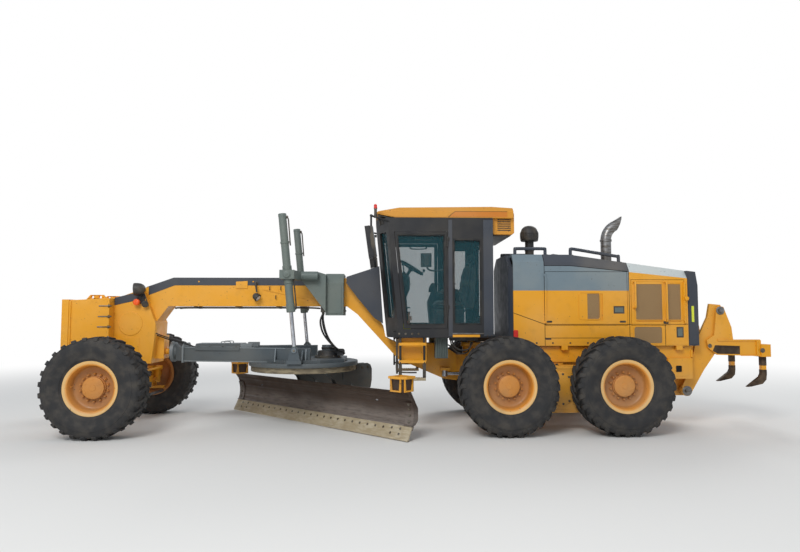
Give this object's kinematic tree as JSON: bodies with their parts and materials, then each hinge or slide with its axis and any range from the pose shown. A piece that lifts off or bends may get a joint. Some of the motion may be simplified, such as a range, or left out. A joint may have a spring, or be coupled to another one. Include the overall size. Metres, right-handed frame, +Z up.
{
  "type": "motor grader",
  "caption": "Articulated road grader with leaning front wheels, an angled blade on a turning circle, a glazed cab, an engine hood and a rear ripper.",
  "frame": {"origin": "on the ground, under the middle of the machine's length and width", "axes": "+X forward, +Y to the machine's left, +Z up"},
  "size_m": [10.15, 2.9769, 3.137],
  "materials": {
    "yellow_paint": "satin",
    "rim_paint": "satin",
    "dark_paint": "satin",
    "grey_paint": "satin",
    "engine_iron": "matte",
    "rod_chrome": "polished",
    "stack_steel": "satin",
    "black_plastic": "matte",
    "cab_trim": "matte",
    "cab_window": "clear",
    "blade_steel": "worn",
    "edge_steel": "worn",
    "tyre_rubber": "matte"
  },
  "bodies": {
    "rear_frame": {"rear_frame": "yellow_paint", "tandems": "yellow_paint", "engine_block": "engine_iron", "hood": "yellow_paint", "dark_panels": "dark_paint", "precleaner": "black_plastic", "exhaust_stack": "stack_steel"},
    "engine_door_left": {"engine_door_left": "yellow_paint"},
    "engine_door_right": {"engine_door_right": "yellow_paint"},
    "cooler_door_left": {"cooler_door_left": "yellow_paint"},
    "cooler_door_right": {"cooler_door_right": "yellow_paint"},
    "ripper_arm": {"ripper_arm": "yellow_paint"},
    "ripper_carriage": {"ripper_carriage": "yellow_paint"},
    "ripper_tube": {"ripper_tube": "yellow_paint"},
    "ripper_rod": {"ripper_rod": "rod_chrome"},
    "hinge_tube_left": {"hinge_tube_left": "dark_paint"},
    "hinge_tube_right": {"hinge_tube_right": "dark_paint"},
    "hinge_rod_left": {"hinge_rod_left": "rod_chrome"},
    "hinge_rod_right": {"hinge_rod_right": "rod_chrome"},
    "front_frame": {"front_frame": "yellow_paint", "front_weight": "yellow_paint", "saddle": "grey_paint", "valve_cover": "dark_paint", "cab_shell": "dark_paint", "cab_roof": "yellow_paint", "cab_interior": "cab_trim", "cab_glass": "cab_window", "steps": "dark_paint", "front_axle": "yellow_paint"},
    "cab_door_left": {"cab_door_left": "dark_paint"},
    "cab_door_right": {"cab_door_right": "dark_paint"},
    "lift_tube_left": {"lift_tube_left": "grey_paint"},
    "lift_tube_right": {"lift_tube_right": "grey_paint"},
    "lift_rod_left": {"lift_rod_left": "rod_chrome"},
    "lift_rod_right": {"lift_rod_right": "rod_chrome"},
    "lean_knuckle_left": {"lean_knuckle_left": "yellow_paint"},
    "lean_knuckle_right": {"lean_knuckle_right": "yellow_paint"},
    "steer_knuckle_left": {"steer_knuckle_left": "yellow_paint"},
    "steer_knuckle_right": {"steer_knuckle_right": "yellow_paint"},
    "lean_bar": {"lean_bar": "yellow_paint"},
    "tie_end": {"tie_end": "dark_paint"},
    "tie_rod": {"tie_rod": "dark_paint"},
    "drawbar": {"drawbar": "dark_paint"},
    "swing_circle": {"swing_circle": "dark_paint"},
    "blade_carrier": {"blade_carrier": "dark_paint"},
    "moldboard": {"moldboard": "blade_steel", "cutting_edge": "edge_steel"},
    "wheel_front_left": {"tyre_front_left": "tyre_rubber", "rim_front_left": "rim_paint"},
    "wheel_front_right": {"tyre_front_right": "tyre_rubber", "rim_front_right": "rim_paint"},
    "wheel_mid_left": {"tyre_mid_left": "tyre_rubber", "rim_mid_left": "rim_paint"},
    "wheel_mid_right": {"tyre_mid_right": "tyre_rubber", "rim_mid_right": "rim_paint"},
    "wheel_rear_left": {"tyre_rear_left": "tyre_rubber", "rim_rear_left": "rim_paint"},
    "wheel_rear_right": {"tyre_rear_right": "tyre_rubber", "rim_rear_right": "rim_paint"}
  },
  "joints": [
    {"name": "articulation", "type": "hinge", "parent": "rear_frame", "child": "front_frame", "pos_m": [-0.775, 0, 0.85], "axis": [0, 0, 1], "range_deg": [-22, 22]},
    {"name": "hinge_tube_left_turn", "type": "hinge", "parent": "rear_frame", "child": "hinge_tube_left", "pos_m": [-1.095, 0.255, 0.745], "axis": [0, 0, 1], "range_deg": [-14, 14]},
    {"name": "hinge_rod_left_slide", "type": "slide", "parent": "hinge_tube_left", "child": "hinge_rod_left", "axis": [1, 0, 0], "range_m": [-0.11, 0.11]},
    {"name": "hinge_tube_right_turn", "type": "hinge", "parent": "rear_frame", "child": "hinge_tube_right", "pos_m": [-1.095, -0.255, 0.745], "axis": [0, 0, 1], "range_deg": [-14, 14]},
    {"name": "hinge_rod_right_slide", "type": "slide", "parent": "hinge_tube_right", "child": "hinge_rod_right", "axis": [1, 0, 0], "range_m": [-0.11, 0.11]},
    {"name": "wheel_lean_left", "type": "hinge", "parent": "front_frame", "child": "lean_knuckle_left", "pos_m": [4.285, 0.71, 0.58], "axis": [1, 0, 0], "range_deg": [-20, 20]},
    {"name": "steering_left", "type": "hinge", "parent": "lean_knuckle_left", "child": "steer_knuckle_left", "pos_m": [4.285, 0.83, 0.63], "axis": [0, 0, 1], "range_deg": [-50, 50]},
    {"name": "wheel_front_left_spin", "type": "hinge", "parent": "steer_knuckle_left", "child": "wheel_front_left", "pos_m": [4.285, 1.09, 0.655], "axis": [0, 1, 0], "continuous": true},
    {"name": "wheel_lean_right", "type": "hinge", "parent": "front_frame", "child": "lean_knuckle_right", "pos_m": [4.285, -0.71, 0.58], "axis": [1, 0, 0], "range_deg": [-20, 20]},
    {"name": "steering_right", "type": "hinge", "parent": "lean_knuckle_right", "child": "steer_knuckle_right", "pos_m": [4.285, -0.83, 0.63], "axis": [0, 0, 1], "range_deg": [-50, 50]},
    {"name": "wheel_front_right_spin", "type": "hinge", "parent": "steer_knuckle_right", "child": "wheel_front_right", "pos_m": [4.285, -1.09, 0.655], "axis": [0, 1, 0], "continuous": true},
    {"name": "lean_bar_turn", "type": "hinge", "parent": "lean_knuckle_left", "child": "lean_bar", "pos_m": [4.075, 0.71, 0.77], "axis": [1, 0, 0], "range_deg": [-20.5, 20.5]},
    {"name": "tie_end_turn", "type": "hinge", "parent": "steer_knuckle_left", "child": "tie_end", "pos_m": [4.085, 0.83, 0.394], "axis": [0, 0, 1], "range_deg": [-51, 51]},
    {"name": "tie_rod_tilt", "type": "hinge", "parent": "tie_end", "child": "tie_rod", "pos_m": [4.085, 0.83, 0.394], "axis": [1, 0, 0], "range_deg": [-18, 18]},
    {"name": "wheel_mid_left_spin", "type": "hinge", "parent": "rear_frame", "child": "wheel_mid_left", "pos_m": [-1.105, 1.09, 0.655], "axis": [0, 1, 0], "continuous": true},
    {"name": "wheel_mid_right_spin", "type": "hinge", "parent": "rear_frame", "child": "wheel_mid_right", "pos_m": [-1.105, -1.09, 0.655], "axis": [0, 1, 0], "continuous": true},
    {"name": "wheel_rear_left_spin", "type": "hinge", "parent": "rear_frame", "child": "wheel_rear_left", "pos_m": [-2.645, 1.09, 0.655], "axis": [0, 1, 0], "continuous": true},
    {"name": "wheel_rear_right_spin", "type": "hinge", "parent": "rear_frame", "child": "wheel_rear_right", "pos_m": [-2.645, -1.09, 0.655], "axis": [0, 1, 0], "continuous": true},
    {"name": "blade_lift", "type": "hinge", "parent": "front_frame", "child": "drawbar", "pos_m": [3.645, 0, 1.06], "axis": [0, 1, 0], "range_deg": [-20, 14]},
    {"name": "lift_tube_left_turn", "type": "hinge", "parent": "front_frame", "child": "lift_tube_left", "pos_m": [1.87, 0.77, 2.15], "axis": [0, 1, 0], "range_deg": [-6, 5]},
    {"name": "lift_rod_left_slide", "type": "slide", "parent": "lift_tube_left", "child": "lift_rod_left", "axis": [-0.1005, 0, -0.9949], "range_m": [-0.48, 0.68]},
    {"name": "lift_tube_right_turn", "type": "hinge", "parent": "front_frame", "child": "lift_tube_right", "pos_m": [1.87, -0.77, 2.15], "axis": [0, 1, 0], "range_deg": [-6, 5]},
    {"name": "lift_rod_right_slide", "type": "slide", "parent": "lift_tube_right", "child": "lift_rod_right", "axis": [-0.1005, 0, -0.9949], "range_m": [-0.48, 0.68]},
    {"name": "circle_turn", "type": "hinge", "parent": "drawbar", "child": "swing_circle", "pos_m": [1.725, 0, 0.9], "axis": [0, 0, 1], "continuous": true},
    {"name": "blade_pitch", "type": "hinge", "parent": "swing_circle", "child": "blade_carrier", "pos_m": [1.52701, -0.19799, 0.33], "axis": [-0.7071, 0.7071, 0], "range_deg": [-5, 40]},
    {"name": "blade_side_shift", "type": "slide", "parent": "blade_carrier", "child": "moldboard", "axis": [-0.7071, 0.7071, 0], "range_m": [-0.61, 0.568]},
    {"name": "cab_door_left_swing", "type": "hinge", "parent": "front_frame", "child": "cab_door_left", "pos_m": [-0.345, 0.754, 1.9], "axis": [0, 0, 1], "range_deg": [0, 85]},
    {"name": "engine_door_left_swing", "type": "hinge", "parent": "rear_frame", "child": "engine_door_left", "pos_m": [-1.752, 0.632, 1.8], "axis": [0, 0, -1], "range_deg": [0, 90]},
    {"name": "cooler_door_left_swing", "type": "hinge", "parent": "rear_frame", "child": "cooler_door_left", "pos_m": [-3.758, 0.632, 1.8], "axis": [0, 0, 1], "range_deg": [0, 90]},
    {"name": "cab_door_right_swing", "type": "hinge", "parent": "front_frame", "child": "cab_door_right", "pos_m": [-0.345, -0.754, 1.9], "axis": [0, 0, -1], "range_deg": [0, 85]},
    {"name": "engine_door_right_swing", "type": "hinge", "parent": "rear_frame", "child": "engine_door_right", "pos_m": [-1.752, -0.632, 1.8], "axis": [0, 0, 1], "range_deg": [0, 90]},
    {"name": "cooler_door_right_swing", "type": "hinge", "parent": "rear_frame", "child": "cooler_door_right", "pos_m": [-3.758, -0.632, 1.8], "axis": [0, 0, -1], "range_deg": [0, 90]},
    {"name": "ripper_lift", "type": "hinge", "parent": "rear_frame", "child": "ripper_arm", "pos_m": [-3.855, 0, 0.5], "axis": [0, -1, 0], "range_deg": [0, 58]},
    {"name": "ripper_carriage_turn", "type": "hinge", "parent": "ripper_arm", "child": "ripper_carriage", "pos_m": [-4.355, 0, 1.66], "axis": [0, -1, 0], "range_deg": [-59, 0.5]},
    {"name": "ripper_tube_turn", "type": "hinge", "parent": "rear_frame", "child": "ripper_tube", "pos_m": [-3.56, 0, 0.56], "axis": [0, -1, 0], "range_deg": [-1, 40]},
    {"name": "ripper_rod_slide", "type": "slide", "parent": "ripper_tube", "child": "ripper_rod", "axis": [-0.7989, 0, 0.6015], "range_m": [-0.01, 0.2]}
  ],
  "couplings": [
    {"joint": "hinge_tube_left_turn", "follows": "articulation", "ratio": 0.56964},
    {"joint": "hinge_rod_left_slide", "follows": "articulation", "m_per_rad": -0.25335},
    {"joint": "hinge_tube_right_turn", "follows": "articulation", "ratio": 0.56964},
    {"joint": "hinge_rod_right_slide", "follows": "articulation", "m_per_rad": 0.25335},
    {"joint": "wheel_lean_right", "follows": "wheel_lean_left", "ratio": 1},
    {"joint": "steering_right", "follows": "steering_left", "ratio": 1},
    {"joint": "lean_bar_turn", "follows": "wheel_lean_left", "ratio": -1},
    {"joint": "tie_end_turn", "follows": "steering_left", "ratio": -1},
    {"joint": "tie_rod_tilt", "follows": "wheel_lean_left", "ratio": -0.85828},
    {"joint": "lift_tube_left_turn", "follows": "blade_lift", "ratio": 0.25},
    {"joint": "lift_rod_left_slide", "follows": "blade_lift", "m_per_rad": -1.8506},
    {"joint": "lift_tube_right_turn", "follows": "blade_lift", "ratio": 0.25},
    {"joint": "lift_rod_right_slide", "follows": "blade_lift", "m_per_rad": -1.8506},
    {"joint": "ripper_carriage_turn", "follows": "ripper_lift", "ratio": -1},
    {"joint": "ripper_tube_turn", "follows": "ripper_lift", "ratio": 0.59277},
    {"joint": "ripper_rod_slide", "follows": "ripper_lift", "m_per_rad": 0.15297}
  ]
}
